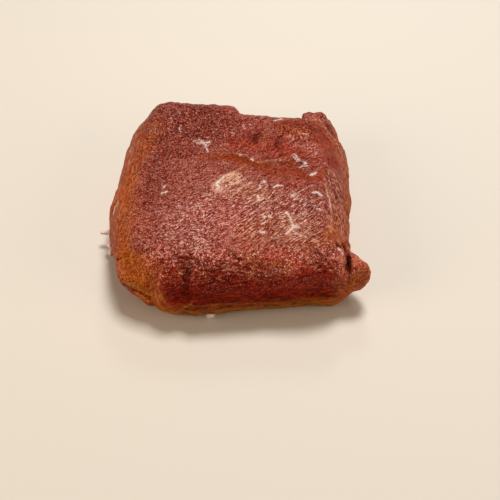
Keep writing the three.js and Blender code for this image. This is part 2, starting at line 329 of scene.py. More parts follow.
# white fat and connective marks: half width in mm and brightness, then a line over the pixels
whiteMarks = {
    "fork, stem": (0.34, 1, (286.6, 213), (290, 217), (291.5, 222), (293.7, 225.3)),
    "fork, head": (0.6, 0.8, (286.2, 212.6), (288.4, 214.4)),
    "fork, middle": (0.65, 1, (292.6, 224.6), (294.6, 226)),
    "fork, right arm": (0.4, 1, (293.7, 225.3), (298.6, 227.2)),
    "fork, left arm": (0.45, 1, (293.4, 225.8), (291.4, 229.2), (286.6, 233.6)),
    "thread by the fork": (0.22, 0.8, (295, 232), (301, 235.8), (306.4, 237.4)),
    "patch at the back, top": (0.3, 0.65, (194, 141), (199, 139.8), (204, 140.4)),
    "patch at the back, middle": (0.45, 0.8, (196.6, 143), (203, 143.2), (210, 141.4)),
    "patch at the back, slant": (0.3, 0.6, (200, 140.6), (205, 143), (208.6, 145.4)),
    "patch at the back, leg": (0.45, 0.65, (204.4, 143.5), (206, 147.4), (207.6, 151.4)),
    "curl at the back left": (0.24, 0.65, (181, 125.5), (179, 129), (180.5, 131.7)),
    "dot at the back left": (0.22, 0.65, (179, 112), (180, 113)),
    "dot beside it": (0.22, 0.65, (170, 118.6), (171.6, 118.2)),
    "dot right of it": (0.22, 0.6, (185, 112.4), (187, 113.4)),
    "dash at the back left": (0.24, 0.65, (168, 128.4), (170, 130)),
    "left mark, upper": (0.35, 0.7, (165.8, 184.8), (163.4, 187.8)),
    "left mark, lower": (0.45, 0.8, (161.8, 193.4), (166.6, 191.6)),
    "spot, front of the middle": (0.6, 0.95, (261, 232), (264, 232.4)),
    "spot, middle": (0.45, 0.85, (269.2, 215.6), (270.6, 217.2)),
    "short mark, middle": (0.4, 0.85, (257.8, 195.5), (259.4, 200.5)),
    "spot in front of the seam": (0.55, 0.95, (263.8, 181), (265, 182.4)),
    "short mark beside it": (0.3, 0.8, (260.6, 185.6), (259.4, 188.4)),
    "curved mark": (0.4, 0.85, (274, 187), (277.5, 185.2), (281.6, 185.8)),
    "long thread": (0.1, 0.6, (310.6, 185.5), (305, 188.3), (298.3, 192.2), (294.4, 195)),
    "spot on the thread": (0.5, 0.85, (292, 196), (294, 195.4)),
    "level thread": (0.15, 0.6, (297.2, 198.9), (308.3, 198.9)),
    "level thread below": (0.15, 0.5, (303.9, 205), (316, 205.5)),
    "small arc": (0.3, 0.8, (316.6, 208.8), (319.4, 208.8), (321.8, 210.4)),
    "bent patch": (0.6, 0.8, (313, 192.6), (317.4, 192.2), (321.6, 195.6)),
    "bright dash": (0.5, 1, (311, 174.9), (315.8, 173)),
    "bead at the seam": (0.6, 0.9, (304.4, 161.8), (306, 163.4)),
    "rim below the bead": (0.3, 0.6, (299, 167.6), (303, 165.8), (308, 165.8)),
    "twin strokes, left": (0.25, 0.7, (291.8, 154.6), (297.5, 161.5)),
    "twin strokes, right": (0.3, 0.75, (294, 153.2), (300, 160.6)),
    "short level mark": (0.2, 0.6, (271, 237.6), (276.8, 237.8)),
    "mark left of the fork": (0.3, 0.6, (230.5, 231.5), (232.5, 235.5)),
    "back edge mark": (0.5, 0.6, (274, 121), (278, 119.5), (282, 118.6)),
    "mark at the back right": (0.3, 0.6, (303, 133.5), (308.5, 134.6)),
    "stroke behind the seam": (0.24, 0.65, (231, 132.6), (234.6, 133.4)),
    "slanting stroke there": (0.2, 0.6, (233.6, 127.6), (235.6, 131)),
    "stroke behind them": (0.24, 0.65, (243, 124.4), (244.6, 128.6)),
    "stroke right of them": (0.2, 0.6, (250, 124), (251.6, 127.4)),
    "tip of the plate's lip": (0.7, 1, (218.2, 187.6), (217.2, 184.2), (218.6, 181.4)),
    "lip of the plate": (0.4, 0.65, (218.6, 181.4), (223, 177.6), (229, 173.6)),
    "streak on the plate": (0.3, 0.45, (233, 193.6), (239, 189.6), (245, 185.4)),
    "seam dot": (0.35, 0.8, (251, 159.2), (253.6, 160)),
    "seam dot, left": (0.3, 0.8, (239.4, 154.6), (241, 155)),
    "streak on the left side": (0.4, 0.6, (118.3, 202), (114.7, 208), (113, 214.5)),
    "fleck on the left side": (0.3, 0.6, (130.8, 148.5), (129.6, 152)),
    "fleck below it": (0.3, 0.6, (129.4, 160), (128.6, 164)),
    "skin by the nub": (0.5, 0.7, (338.2, 248.4), (341, 250.6), (342.6, 253.4)),
    "right edge line": (0.12, 0.65, (326.8, 190), (329.2, 199), (330.8, 207)),
    "front corner fleck": (0.3, 0.6, (165.8, 234), (167.5, 236)),
}

# scraps of fat that hang on the sides: half size in mm and brightness, then the place in mm
fatScraps = {
    "left scrap": (4.2, 1, (-68.3, -15.7, 9.2)),
    "left bead": (2.6, 1, (-65.8, -23.2, 8.2)),
    "left bead below": (2.3, 1, (-63.9, -27.6, 7.2)),
    "front edge fleck": (2.4, 1, (-8, -64.6, 3.4)),
}

# tan lines of thin skin, given as the white marks are
tanLines = {
    "right edge line, top": (0.4, 1, (325.6, 183), (326.8, 191), (329.4, 199), (330.8, 206)),
    "right edge line, foot": (0.35, 0.8, (330.8, 206), (332, 216.7), (331.8, 227), (330.6, 232)),
    "back right line": (
        0.4, 0.6, (318, 119.4), (320, 120.6), (329, 134), (335, 139.8), (339.5, 149.6),
        (343, 160.4)),
    "back edge": (0.5, 0.5, (264, 121.6), (280, 120), (298, 119.4), (316, 119)),
    "pale plate rim": (0.7, 0.6, (221, 180), (228.9, 174.2), (236.7, 170.5), (246, 164.6)),
    "edge of the brown lens": (0.25, 0.6, (220, 155.4), (224, 153.2), (229, 152.6), (235, 153.6)),
    "streak in the brown lens": (0.6, 0.5, (223.3, 161.7), (227.8, 163.6)),
    "seam ridge, left": (0.25, 0.9, (235, 152.8), (240, 154.4), (246, 154.8)),
    "seam ridge, middle": (0.2, 0.6, (246, 155), (254, 159)),
    "seam ridge, right": (0.25, 1, (256, 162), (262, 162), (267, 161), (277, 160.4)),
    "seam ridge, far right": (0.2, 0.5, (277, 160.4), (287, 160.2), (293, 163)),
    "streak between the dents": (0.9, 0.15, (268, 128), (265, 138), (262, 148)),
    "tan thread, middle": (0.2, 0.7, (257.4, 212.8), (262, 210.4), (267.2, 208.3)),
    "cord on the front edge": (0.3, 0.6, (256.8, 265), (252.5, 272), (248.5, 280)),
    "layer edge": (
        0.4, 0.9, (123, 281.4), (127, 283), (135, 286.5), (143, 290), (150, 294), (154, 297)),
    "layer above it": (0.25, 0.7, (133, 283.6), (140, 286), (148, 290), (153, 293.5)),
    "layer below it": (0.3, 0.5, (126, 289.4), (134, 293.4), (144, 298.4), (152, 302)),
    "folds at the left corner": (0.3, 0.5, (117, 262), (121, 270), (127, 276), (133, 278)),
    "foot of the left corner": (0.4, 0.5, (130, 293.6), (138, 297.4), (148, 301.6)),
    "lobe edge": (0.45, 0.9, (155, 290), (156, 298), (158.4, 303.4), (163, 309)),
    "line inside the lobe edge": (0.3, 0.8, (157.6, 288), (160, 297), (165, 304)),
    "second line inside it": (0.25, 0.6, (160.4, 292), (163.4, 299), (169, 306)),
    "third line inside it": (0.25, 0.5, (164, 300), (168.6, 305.6), (175, 309.6)),
    "foot of the lobe": (0.5, 0.6, (164, 311), (172, 314), (186, 315.4), (200, 314)),
    "line above the foot, left": (0.35, 0.8, (190, 305.4), (215, 304.8), (235, 303.6), (256, 303)),
    "line above the foot, right": (0.3, 0.4, (256, 303), (290, 301), (325, 297.6)),
    "ridge of the flap": (0.3, 0.6, (356, 272), (354, 280), (351.5, 288)),
    "rim of the flap": (0.4, 0.6, (352, 252), (357, 255), (362, 258.5), (366, 262)),
    "lip under the notch": (0.5, 0.6, (114.5, 263), (118, 261.6), (122.5, 259.6)),
}

# soft shade in folds and hollows: half width and blur in mm and strength, then a line
foldShades = {
    "gap at the nub": (0.4, 1.2, 0.7, (336.5, 244.4), (340, 247.6)),
    "hollow below the nub": (0.5, 2, 0.6, (346, 252), (349, 254)),
    "slanting fold": (0.2, 0.9, 0.55, (172, 252), (176, 255.4), (181, 259)),
    "second slanting fold": (0.3, 1, 0.75, (230, 250), (234, 255), (239, 260)),
    "third slanting fold": (0.3, 1.4, 0.6, (314, 250), (319, 254), (325, 260)),
    "lobe crease": (1.3, 2.8, 0.55, (188.4, 268), (187.4, 280), (186, 294)),
    "hollow over the crease": (0.5, 2.2, 0.5, (186.4, 262), (188.6, 268)),
    "corner crease": (0.6, 2, 0.5, (156.4, 274), (155.6, 284), (155.4, 292)),
    "notch": (0.3, 1.2, 0.7, (114, 260.6), (118, 259.4)),
    "gap behind the fold": (0.5, 1.4, 0.6, (323, 121), (327, 127), (333, 135)),
    "in front of the seam": (0.25, 0.8, 0.8, (257.2, 181), (262.4, 179.4)),
    "by the twin strokes": (0.25, 0.8, 0.8, (292.6, 157.6), (298, 162), (302, 163)),
    "line before the edge": (0.25, 0.9, 0.5, (324.6, 182), (325.4, 190)),
    "line under the seam, left": (0.3, 1, 0.4, (236, 155), (244, 157), (252, 161.4)),
    "line under the seam": (0.3, 1.2, 0.45, (254, 163.4), (262, 163.8), (274, 162.4), (284, 163)),
    "dent behind the seam": (0.8, 2.6, 0.6, (255.8, 136), (254.6, 142)),
    "second dent": (0.8, 2.6, 0.6, (278.6, 138), (276, 147)),
    "hollow on the left": (1, 6, 0.2, (162, 140), (155, 165), (151, 192)),
    "pits at the back left": (1, 4, 0.22, (168, 148), (176, 152), (184, 150)),
    "pits on the front lobe": (0.8, 2, 0.3, (162, 262), (170, 264), (180, 261)),
    "pits at the front": (1, 3.5, 0.3, (198, 263), (225, 266), (245, 268)),
    "pits at the front right": (1, 4, 0.2, (300, 258), (318, 259), (326, 266)),
    "under the layer edge": (0.4, 1.4, 0.6, (124, 285), (134, 289.6), (143, 293.4), (151, 297.4)),
    "line by the foot": (0.3, 1, 0.5, (188, 305), (247, 302.5), (290, 300.5)),
}

# painted shade in open gaps, dark all through: place and half sizes in mm, faded over shares of
# them
deepGaps = {
    "slit by the flap": {
        "place": (59.3, -49.4, 32),
        "half": (2.1, 7.6, 10.6),
        "fade": (0.95, 1.2),
        "strength": 0.45,
    },
}


def edgeDistance(points, marks):
    # distance in mm to the nearest mark's edge, below zero inside it, and that mark's brightness
    nearest = np.full(len(points), 50.0)
    light = np.zeros(len(points))
    for half, brightness, *spots in marks.values():
        away = distanceToLine(points, spotsOnMeat(spots)) - half
        light = np.where(away < nearest, brightness, light)
        nearest = np.minimum(nearest, away)
    return nearest, light


def storeAttribute(piece, name, values):
    layer = piece.data.attributes.new(name, "FLOAT", "POINT")
    layer.data.foreach_set("value", np.asarray(values, dtype=np.float32))


# areas of their own colour, some of them painted light or shade: strength, mm to where it begins
# and ends to fade, then a line of pixels
softAreas = {
    "onSide": [
        (0.8, 4, 15, (148, 130), (140, 142), (127, 170), (119, 202), (116, 235), (120, 255)),
        (0.56, 1.5, 7, (337, 140), (345, 165), (349, 190), (350, 215), (348, 238)),
    ],
    "toFront": [(1, 3.5, 7, (187, 284), (185.5, 298))],
    "rightStrip": [(1, 4, 9, (333, 178), (338, 200), (340, 225))],
    "flapTop": [(1, 5, 9, (362, 268), (357, 274), (352, 284))],
    "mauve": [
        (1, 6, 26, (205, 215), (235, 225)),
        (0.9, 2, 8, (226, 126), (244, 127), (258, 127)),
        (0.5, 3, 9, (178, 146), (165, 158)),
    ],
    "warmTan": [
        (0.8, 3, 15, (252, 232), (285, 226), (310, 240)),
        (0.7, 3, 11, (240, 190), (262, 196)),
        (1, 2, 8, (246, 262), (250, 258)),
    ],
    "backRed": [
        (0.85, 5, 14, (250, 146), (275, 148), (315, 148)),
        (1, 1.5, 4.5, (232, 141), (236, 147)),
        (1, 3, 9, (316, 128), (326, 142), (332, 160)),
        (0.3, 2, 8, (276, 182), (302, 184)),
        (0.5, 1, 4, (241, 168), (246, 167)),
    ],
    "backGold": [
        (1, 5, 14, (294, 126), (316, 128), (324, 142)),
        (0.5, 3, 10, (150, 128), (143, 142), (136, 156)),
        (0.35, 4, 9, (141, 190), (139, 210), (139, 228)),
    ],
    "seamBand": [
        (1, 1.4, 3.6, (223, 156.5), (234, 156.5)),
        (1, 1.6, 4.6, (238, 160), (250, 163.5), (262, 166)),
        (0.6, 2, 6.5, (262, 167), (280, 171), (292, 172)),
        (0.8, 1, 3.4, (286, 163), (296, 166)),
        (1, 1.6, 3.6, (301, 173.4), (302, 175)),
        (0.75, 1.4, 4.2, (306, 178), (318, 177), (322, 172)),
        (0.5, 1.5, 5, (203, 158), (215, 156)),
        (0.6, 1.5, 5, (334, 234), (340, 240)),
    ],
    "palePlate": [(1, 2.5, 6.5, (221, 186), (228, 181), (234, 178))],
    "darkLobeAndShade": [
        (1, 7, 22, (165, 120), (190, 120), (215, 124)),
        (0.55, 4, 12, (165, 140), (156, 170), (150, 195)),
        (0.5, 2, 9, (178, 152), (190, 150)),
        (0.45, 5, 16, (250, 128), (300, 128)),
        (0.5, 3, 9, (317, 194), (319, 208), (321, 222), (320, 236)),
        (0.55, 3, 10, (148, 128), (140, 150)),
        # painted shade: a darker band along the front face
        (0.65, 2, 7, (196, 281), (225, 283), (262, 282), (290, 280)),
    ],
    # spots on the front edge and the front lobe, made brighter as painted light
    "frontRow": [
        (1, 2, 8, (158, 264), (165, 268)),
        (1, 2, 9, (276, 260), (292, 266)),
        (0.4, 2, 7, (338, 262), (344, 268)),
        (0.9, 1.5, 5, (159, 288), (161, 297)),
    ],
    # pebbly grain along the front row, brightened as painted light, with painted shade in its pits
    # and painted glints
    "rowGrainAndLight": [
        (1, 6, 15, (165, 268), (200, 272), (240, 273), (290, 271), (335, 266), (342, 262)),
        (0.15, 2, 7, (226, 126), (236, 128), (248, 125)),
        (0.35, 3, 10, (166, 116), (184, 116)),
    ],
    "frosted": [
        (1, 8, 28, (205, 222), (236, 204), (262, 208), (300, 214)),
        (0.8, 3, 10, (298, 138), (312, 150)),
    ],
    # the front left corner: golden brown of its own, brightened as painted warm light
    "cornerGlow": [(1, 4, 13, (124, 266), (138, 272), (144, 290), (158, 304), (166, 306))],
    "crimson": [(1, 2, 6, (166, 279), (171, 288))],
}

# where an area is made weaker again, given in the same way
clearedAreas = {
    "onSide": [(0.5, 2, 7, (138, 246), (145, 262)), (0.6, 2, 6, (337, 253), (341, 264))],
    "onFront": [(0.6, 2, 7, (272, 264), (290, 266))],
    "backRed": [(0.7, 2, 8, (298, 140), (316, 150)), (0.5, 2, 6, (240, 152), (262, 154))],
}

# how much a face is turned up, forward or back where an area begins and where it is full
turns = {
    "onTop": (0.45, 0.92),
    "offSide": (0.25, 0.8),
    "toFront": (0.55, 0.86),
    "onBack": (0.35, 0.7),
    "seamBand": (0.2, 0.6),
    "darkLobeAndShade": (0.05, 0.4),
}
lobeEnd = (-40, -27)  # mm across, where the front face begins right of the corner lobe
flapStart = (50, 60)  # mm across, where the flap begins
flapClear = 0.85  # share of the front's brown that the flap is without
# the band where the top turns into the front is darkened as painted shade
turnPeak = 6  # lifts the band where the top turns into the front to nearly full strength


def softArea(points, name, start=0.0):
    # the strongest stroke of an area at each point, over a start value, less what is cleared
    area = np.zeros(len(points)) + start
    for strength, inner, outer, *pixels in softAreas.get(name, ()):
        distance = distanceToLine(points, spotsOnMeat(pixels))
        area = np.maximum(area, (1 - smoothStep(distance, inner, outer)) * strength)
    for strength, inner, outer, *pixels in clearedAreas.get(name, ()):
        distance = distanceToLine(points, spotsOnMeat(pixels))
        area = area * (1 - (1 - smoothStep(distance, inner, outer)) * strength)
    return area


meatTree = surfaceTree(meat)
points = meshPoints(meat)
normals = meshNormals(meat)
facingUp = normals[:, 2]
areas = {name: softArea(points, name) for name in softAreas}
areas["whiteEdge"], areas["whiteLight"] = edgeDistance(points, {**whiteMarks, **fatScraps})
areas["tanEdge"], areas["tanLight"] = edgeDistance(points, tanLines)

foldShade = np.zeros(len(points))
for half, blur, strength, *pixels in foldShades.values():
    away = distanceToLine(points, spotsOnMeat(pixels)) - half
    foldShade = np.maximum(foldShade, strength * (1 - smoothStep(away, 0, blur)))
for gap in deepGaps.values():
    inGap = np.linalg.norm((points - np.array(gap["place"])) / np.array(gap["half"]), axis=1)
    foldShade = np.maximum(foldShade, gap["strength"] * (1 - smoothStep(inGap, *gap["fade"])))
areas["foldShade"] = foldShade

toFront = softArea(points, "toFront", smoothStep(-normals[:, 1], *turns["toFront"]))
pastLobe = smoothStep(points[:, 0], *lobeEnd)
onFlap = smoothStep(points[:, 0], *flapStart)
areas["onTop"] = smoothStep(facingUp, *turns["onTop"])
areas["onSide"] = softArea(points, "onSide", 1 - smoothStep(facingUp, *turns["offSide"]))
areas["onBack"] = smoothStep(normals[:, 1], *turns["onBack"])
areas["onFoot"] = toFront * pastLobe
# the front face: its own deep maroon, darkened further as painted shade, with less of it on the
# flap
areas["onFront"] = softArea(points, "onFront", areas["onFoot"] * (1 - flapClear * onFlap))
# painted shade on the band where the top turns into the front
areas["frontTurn"] = turnPeak * toFront**2 * (1 - toFront) * pastLobe
areas["flapTop"] = areas["flapTop"] * (1 - toFront)
for name in ("seamBand", "darkLobeAndShade"):
    areas[name] = areas[name] * smoothStep(facingUp, *turns[name])
del areas["toFront"]
for name, values in areas.items():
    storeAttribute(meat, name, values)
print("marks and areas stored")


# small helpers to build node trees
def addNode(tree, kind, label="", **settings):
    node = tree.nodes.new(kind)
    node.label = label
    for key, value in settings.items():
        setattr(node, key, value)
    return node


def joinTo(tree, source, target):
    if isinstance(source, (int, float, tuple)):
        target.default_value = source
    else:
        tree.links.new(source, target)


def mathNode(tree, operation, first, second, clamp=False):
    node = addNode(tree, "ShaderNodeMath", operation=operation, use_clamp=clamp)
    joinTo(tree, first, node.inputs[0])
    joinTo(tree, second, node.inputs[1])
    return node.outputs[0]


def times(tree, first, second):
    return mathNode(tree, "MULTIPLY", first, second)


def plus(tree, first, second):
    return mathNode(tree, "ADD", first, second)


def greater(tree, first, second):
    return mathNode(tree, "MAXIMUM", first, second)


def remainder(tree, value):
    return mathNode(tree, "SUBTRACT", 1.0, value)


def rangeNode(tree, value, low, high, newLow=0.0, newHigh=1.0):
    node = addNode(tree, "ShaderNodeMapRange", interpolation_type="SMOOTHSTEP")
    joinTo(tree, value, node.inputs["Value"])
    for name, number in (
        ("From Min", low), ("From Max", high), ("To Min", newLow), ("To Max", newHigh)
    ):
        node.inputs[name].default_value = number
    return node.outputs[0]


def mixColour(tree, amount, first, second, blend="MIX"):
    node = addNode(tree, "ShaderNodeMix", data_type="RGBA", blend_type=blend)
    joinTo(tree, amount, node.inputs[0])
    joinTo(tree, first, node.inputs[6])
    joinTo(tree, second, node.inputs[7])
    return node.outputs[2]


def mixValue(tree, amount, first, second):
    node = addNode(tree, "ShaderNodeMix", data_type="FLOAT")
    joinTo(tree, amount, node.inputs[0])
    joinTo(tree, first, node.inputs[2])
    joinTo(tree, second, node.inputs[3])
    return node.outputs[0]


def noiseNode(tree, vector, scale, detail=3.0, roughness=0.55, distortion=0.0):
    node = addNode(tree, "ShaderNodeTexNoise")
    joinTo(tree, vector, node.inputs["Vector"])
    joinTo(tree, scale, node.inputs["Scale"])
    node.inputs["Detail"].default_value = detail
    node.inputs["Roughness"].default_value = roughness
    node.inputs["Distortion"].default_value = distortion
    return node.outputs["Fac"]


def newGroup(name, inputs, outputs):
    group = bpy.data.node_groups.new(name, "ShaderNodeTree")
    for socketName, socketType, value in inputs:
        socket = group.interface.new_socket(socketName, in_out="INPUT", socket_type=socketType)
        if value is not None:
            socket.default_value = value
    for socketName, socketType in outputs:
        group.interface.new_socket(socketName, in_out="OUTPUT", socket_type=socketType)
    start = group.nodes.new("NodeGroupInput")
    end = group.nodes.new("NodeGroupOutput")
    return group, start.outputs, end.inputs


fibreLook = {
    "bendScale": 0.09,  # per mm
    "bendDetail": 1.0,
    "bendReach": 6.0,  # mm that a thread strays for each unit of its wander
    "depth": 1.6,  # a thread's depth in spacings
    "noise": (1.0, 3.0, 0.6),  # scale, detail and roughness
}


def buildFibreGroup():
    # fine threads that run one way: turn in radians, length and spacing in mm
    group, given, result = newGroup(
        "meatFibres",
        [
            ("Vector", "NodeSocketVector", None),
            ("Turn", "NodeSocketVector", (0, 0, 0)),
            ("Length", "NodeSocketFloat", 9.0),
            ("Spacing", "NodeSocketFloat", 0.9),
            ("Wander", "NodeSocketFloat", 1.4),
        ],
        [("Threads", "NodeSocketFloat")],
    )
    bend = addNode(group, "ShaderNodeTexNoise", "bends the threads")
    joinTo(group, given["Vector"], bend.inputs["Vector"])
    bend.inputs["Scale"].default_value = fibreLook["bendScale"]
    bend.inputs["Detail"].default_value = fibreLook["bendDetail"]
    middle = addNode(group, "ShaderNodeVectorMath", operation="SUBTRACT")
    joinTo(group, bend.outputs["Color"], middle.inputs[0])
    middle.inputs[1].default_value = (0.5, 0.5, 0.5)
    strength = addNode(group, "ShaderNodeVectorMath", operation="SCALE")
    joinTo(group, middle.outputs[0], strength.inputs[0])
    joinTo(group, times(group, given["Wander"], fibreLook["bendReach"]), strength.inputs["Scale"])
    moved = addNode(group, "ShaderNodeVectorMath", operation="ADD")
    joinTo(group, given["Vector"], moved.inputs[0])
    joinTo(group, strength.outputs[0], moved.inputs[1])
    drawn = addNode(group, "ShaderNodeCombineXYZ")
    joinTo(group, given["Length"], drawn.inputs[0])
    joinTo(group, given["Spacing"], drawn.inputs[1])
    joinTo(group, times(group, given["Spacing"], fibreLook["depth"]), drawn.inputs[2])
    place = addNode(group, "ShaderNodeMapping", vector_type="TEXTURE")
    joinTo(group, moved.outputs[0], place.inputs["Vector"])
    joinTo(group, given["Turn"], place.inputs["Rotation"])
    joinTo(group, drawn.outputs[0], place.inputs["Scale"])
    threads = noiseNode(group, place.outputs[0], *fibreLook["noise"])
    joinTo(group, threads, result["Threads"])
    return group


grainLook = {
    "fine": (2.0, 0.55, 0.7),  # detail, roughness and distortion
    "coarse": (2.0, 0.5, 0.4),
    "coarseScale": 0.36,
    "coarseShare": 0.18,
    "crests": (0.50, 0.60),  # heights where the pale crests begin and are full
    "pores": (0.49, 0.40),
}


def buildGrainGroup():
    # crumbly fine grain with pale crests and dark pores: size in mm
    group, given, result = newGroup(
        "meatGrain",
        [
            ("Vector", "NodeSocketVector", None),
            ("Size", "NodeSocketFloat", 1.2),
        ],
        [
            ("Crests", "NodeSocketFloat"),
            ("Pores", "NodeSocketFloat"),
            ("Height", "NodeSocketFloat"),
        ],
    )
    scale = mathNode(group, "DIVIDE", 1.0, given["Size"])
    grain = noiseNode(group, given["Vector"], scale, *grainLook["fine"])
    coarseScale = times(group, scale, grainLook["coarseScale"])
    coarse = noiseNode(group, given["Vector"], coarseScale, *grainLook["coarse"])
    coarseShare = grainLook["coarseShare"]
    fineShare = times(group, grain, 1 - coarseShare)
    height = plus(group, fineShare, times(group, coarse, coarseShare))
    joinTo(group, rangeNode(group, height, *grainLook["crests"]), result["Crests"])
    joinTo(group, rangeNode(group, height, *grainLook["pores"]), result["Pores"])
    joinTo(group, height, result["Height"])
    return group


edgeLook = {
    "noise": (1.3, 3.0, 0.65),  # scale per mm, detail and roughness
    "swing": 2.0,  # how far raggedness moves an edge, in units of it
}


def buildEdgeGroup():
    # a ragged mark from its stored edge distance: ragged and soft in mm
    group, given, result = newGroup(
        "raggedMark",
        [
            ("Vector", "NodeSocketVector", None),
            ("Distance", "NodeSocketFloat", 1.0),
            ("Ragged", "NodeSocketFloat", 0.8),
            ("Soft", "NodeSocketFloat", 0.3),
        ],
        [("Mask", "NodeSocketFloat")],
    )
    uneven = noiseNode(group, given["Vector"], *edgeLook["noise"])
    shift = times(group, mathNode(group, "SUBTRACT", uneven, 0.5), given["Ragged"])
    distance = plus(group, given["Distance"], times(group, shift, edgeLook["swing"]))
    share = mathNode(group, "DIVIDE", distance, given["Soft"])
    mask = mathNode(group, "SUBTRACT", 0.5, times(group, share, 0.5), clamp=True)
    joinTo(group, mask, result["Mask"])
    return group


fibreGroup = buildFibreGroup()
grainGroup = buildGrainGroup()
edgeGroup = buildEdgeGroup()

